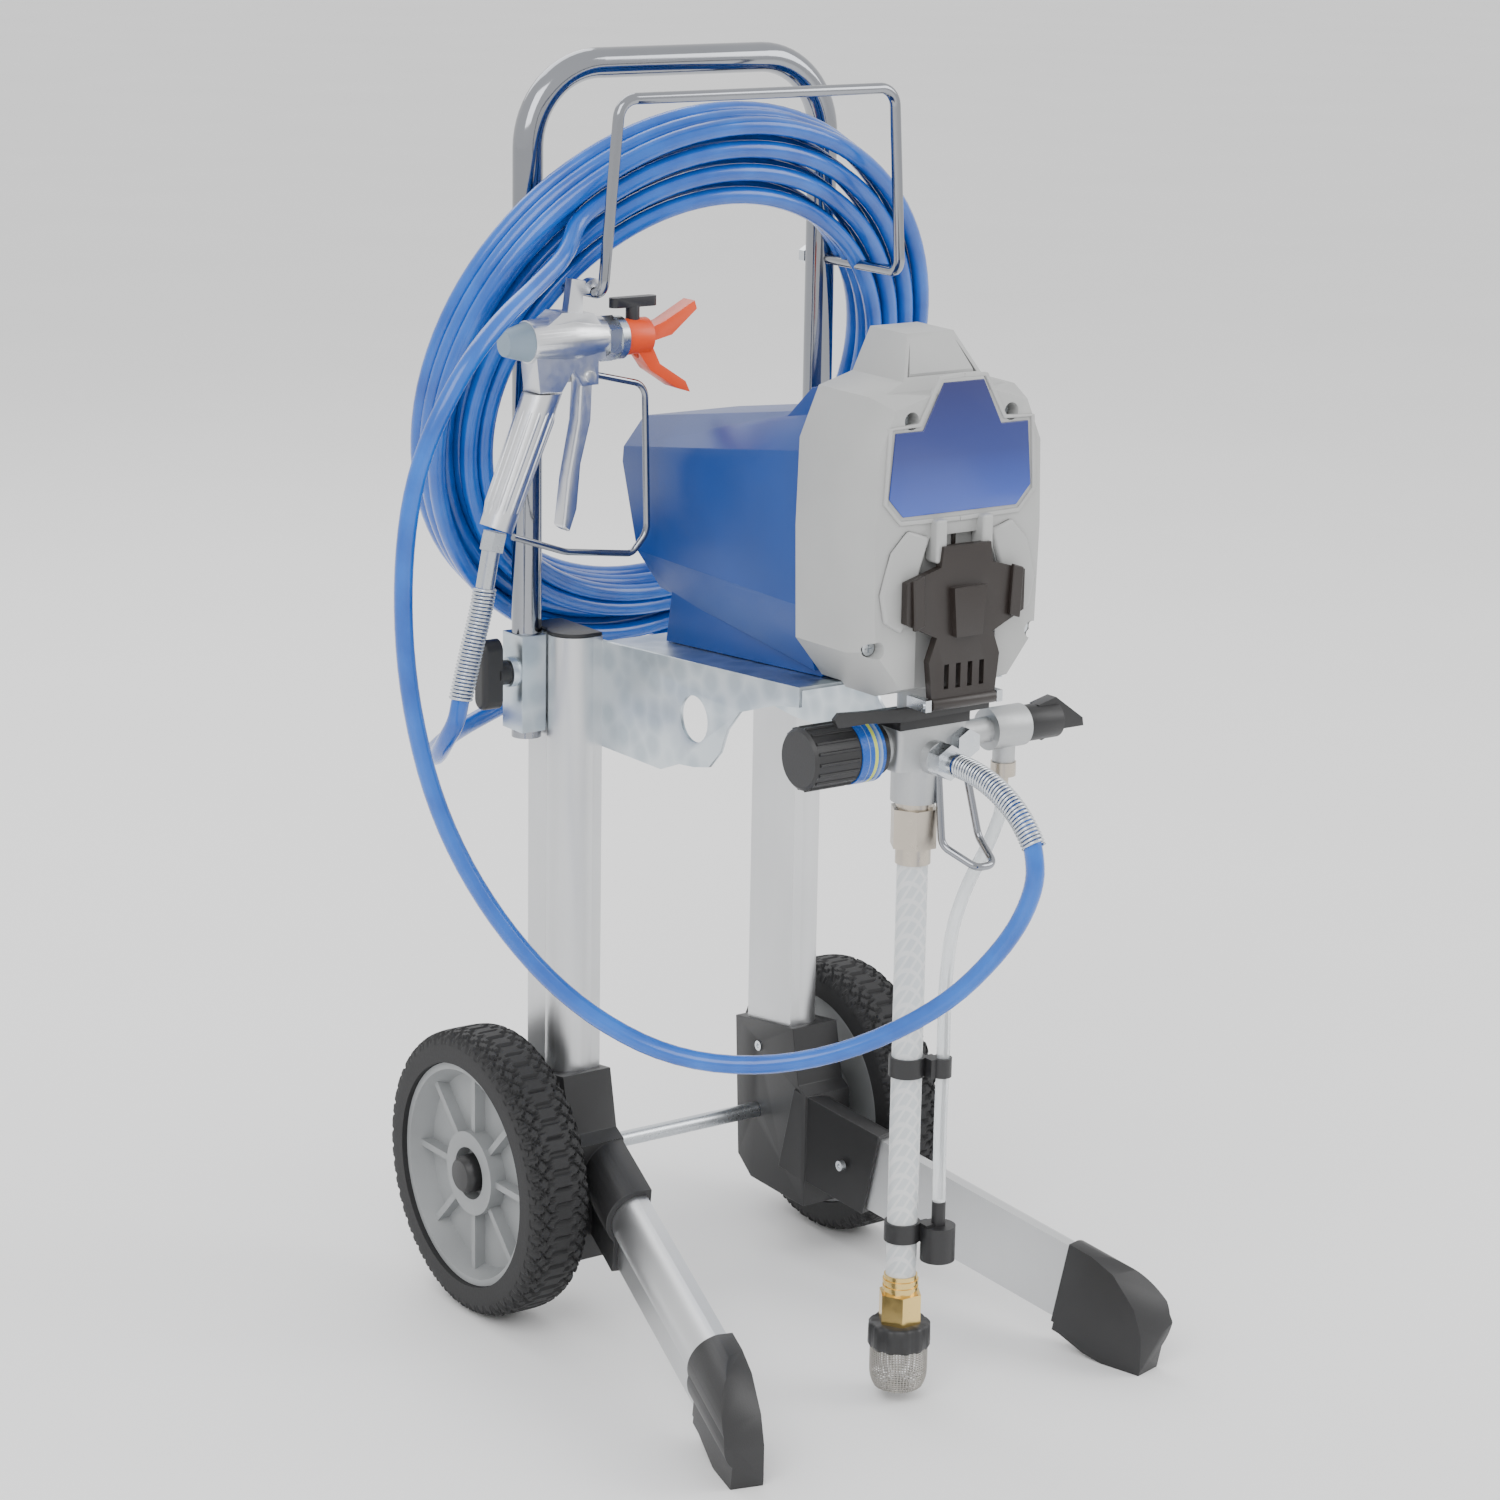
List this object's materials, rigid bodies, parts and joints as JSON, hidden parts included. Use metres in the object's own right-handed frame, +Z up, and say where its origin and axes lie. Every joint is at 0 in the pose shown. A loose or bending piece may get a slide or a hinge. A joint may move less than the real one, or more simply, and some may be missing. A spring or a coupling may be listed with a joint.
{
  "type": "airless paint sprayer",
  "caption": "Airless paint sprayer on a two-wheel cart, with a sliding handle, a coiled hose on a rack, a spray gun and a suction tube for a paint pail",
  "frame": {"origin": "on the floor, at the middle of the box round the sprayer without its hose", "axes": "+Z up, -Y to the front, where the pump is, +X to the right of a person who faces the pump"},
  "size_m": [0.5318, 0.5432, 0.94],
  "materials": {
    "aluminium_profile": "satin",
    "black_plastic": "fine grain",
    "door_plastic": "satin",
    "zinc": "zinc plated",
    "galvanised": "galvanised",
    "chrome": "polished",
    "wheel_plastic": "grained",
    "tyre": "matt",
    "blue_plastic": "satin",
    "grey_plastic": "satin",
    "badge": "gloss",
    "steel": "machined",
    "cast": "cast",
    "nickel": "nickel plated",
    "band": "gloss",
    "clear_tube": "translucent",
    "brass": "machined",
    "strainer": "woven",
    "hose": "glossy",
    "gun_metal": "bright cast",
    "gun_cap": "satin",
    "orange": "satin",
    "tip_black": "satin"
  },
  "bodies": {
    "root": {"axle": "zinc", "badge": "badge", "corner_bracket_left": "black_plastic", "corner_bracket_right": "black_plastic", "door_hinge": "zinc", "drain_tube": "clear_tube", "drive_housing": "cast", "electrical_fittings": "black_plastic", "end_caps": "black_plastic", "foot_cap_left": "black_plastic", "foot_cap_right": "black_plastic", "front_cover": "grey_plastic", "hose_loop": "hose", "inlet_fitting": "brass", "inlet_strainer": "strainer", "leg_left": "aluminium_profile", "leg_right": "aluminium_profile", "manifold": "cast", "manifold_fittings": "zinc", "motor_bearings": "steel", "motor_bracket": "galvanised", "motor_housing": "blue_plastic", "pail_hook": "chrome", "post_left": "aluminium_profile", "post_right": "aluminium_profile", "pump_fittings": "nickel", "pump_shroud": "black_plastic", "pump_spring": "zinc", "screws": "zinc", "stator": "steel", "suction_tube": "clear_tube", "tube_clips": "black_plastic"},
    "handle": {"handle_tube": "chrome", "hose_rack": "chrome", "rack_nuts": "zinc", "hose_coil": "hose", "hose_tail": "hose", "gun_spring": "zinc", "gun_body": "gun_metal", "gun_end_cap": "gun_cap", "gun_grip": "gun_metal", "gun_fittings": "zinc", "trigger_guard": "chrome"},
    "wheel_left": {"wheel_left": "wheel_plastic", "tyre_left": "tyre"},
    "wheel_right": {"wheel_right": "wheel_plastic", "tyre_right": "tyre"},
    "clamp_left": {"clamp_knob_left": "black_plastic"},
    "clamp_right": {"clamp_knob_right": "black_plastic"},
    "pressure_control": {"pressure_knob": "black_plastic", "pressure_band": "band"},
    "prime_control": {"prime_knob": "black_plastic"},
    "door": {"pump_door": "door_plastic"},
    "switch": {"power_switch": "black_plastic"},
    "rotor": {"rotor": "steel"},
    "gear": {"drive_gear": "steel"},
    "piston": {"piston_rod": "steel"},
    "trigger": {"gun_trigger": "gun_metal"},
    "guard": {"tip_guard": "orange"},
    "tip": {"spray_tip": "tip_black"}
  },
  "joints": [
    {"name": "wheel_left_spin", "type": "hinge", "parent": "root", "child": "wheel_left", "pos_m": [-0.1508, 0.1305, 0.11], "axis": [1, 0, 0], "continuous": true},
    {"name": "wheel_right_spin", "type": "hinge", "parent": "root", "child": "wheel_right", "pos_m": [0.1742, 0.1305, 0.11], "axis": [1, 0, 0], "continuous": true},
    {"name": "handle_slide", "type": "slide", "parent": "root", "child": "handle", "axis": [0, 0, 1], "range_m": [-0.015, 0], "deforming": ["hose_loop"]},
    {"name": "clamp_left_turn", "type": "hinge", "parent": "root", "child": "clamp_left", "pos_m": [-0.1383, 0.1315, 0.492], "axis": [1, 0, 0], "continuous": true},
    {"name": "clamp_right_turn", "type": "hinge", "parent": "root", "child": "clamp_right", "pos_m": [0.1617, 0.1315, 0.492], "axis": [1, 0, 0], "continuous": true},
    {"name": "pressure_turn", "type": "hinge", "parent": "root", "child": "pressure_control", "pos_m": [-0.0683, -0.1695, 0.487], "axis": [1, 0, 0], "range_deg": [0, 270]},
    {"name": "prime_turn", "type": "hinge", "parent": "root", "child": "prime_control", "pos_m": [0.1167, -0.1695, 0.487], "axis": [1, 0, 0], "range_deg": [0, 90]},
    {"name": "door_hinge", "type": "hinge", "parent": "root", "child": "door", "pos_m": [0.0117, -0.2185, 0.526], "axis": [1, 0, 0], "range_deg": [0, 60]},
    {"name": "switch_rock", "type": "hinge", "parent": "root", "child": "switch", "pos_m": [0.0872, -0.0195, 0.635], "axis": [0, 1, 0], "range_deg": [0, 10]},
    {"name": "rotor_spin", "type": "hinge", "parent": "root", "child": "rotor", "pos_m": [0.0117, -0.0095, 0.622], "axis": [0, 1, 0], "continuous": true},
    {"name": "gear_spin", "type": "hinge", "parent": "root", "child": "gear", "pos_m": [0.0117, -0.0825, 0.5856], "axis": [0, 1, 0], "continuous": true},
    {"name": "piston_stroke", "type": "slide", "parent": "root", "child": "piston", "axis": [0, 0, 1], "range_m": [-0.02, 0]},
    {"name": "trigger_pull", "type": "hinge", "parent": "handle", "child": "trigger", "pos_m": [-0.1253, 0.0465, 0.722], "axis": [0, 1, 0], "range_deg": [0, 12], "stiffness_Nm_per_rad": 0.8, "springref_deg": -11.46},
    {"name": "guard_turn", "type": "hinge", "parent": "handle", "child": "guard", "pos_m": [-0.0833, 0.0465, 0.746], "axis": [1, 0, 0], "range_deg": [-90, 90]},
    {"name": "tip_turn", "type": "hinge", "parent": "guard", "child": "tip", "pos_m": [-0.0833, 0.0465, 0.75], "axis": [0, 0, 1], "range_deg": [0, 180]}
  ],
  "couplings": [
    {"joint": "gear_spin", "follows": "rotor_spin", "ratio": -0.33333}
  ]
}
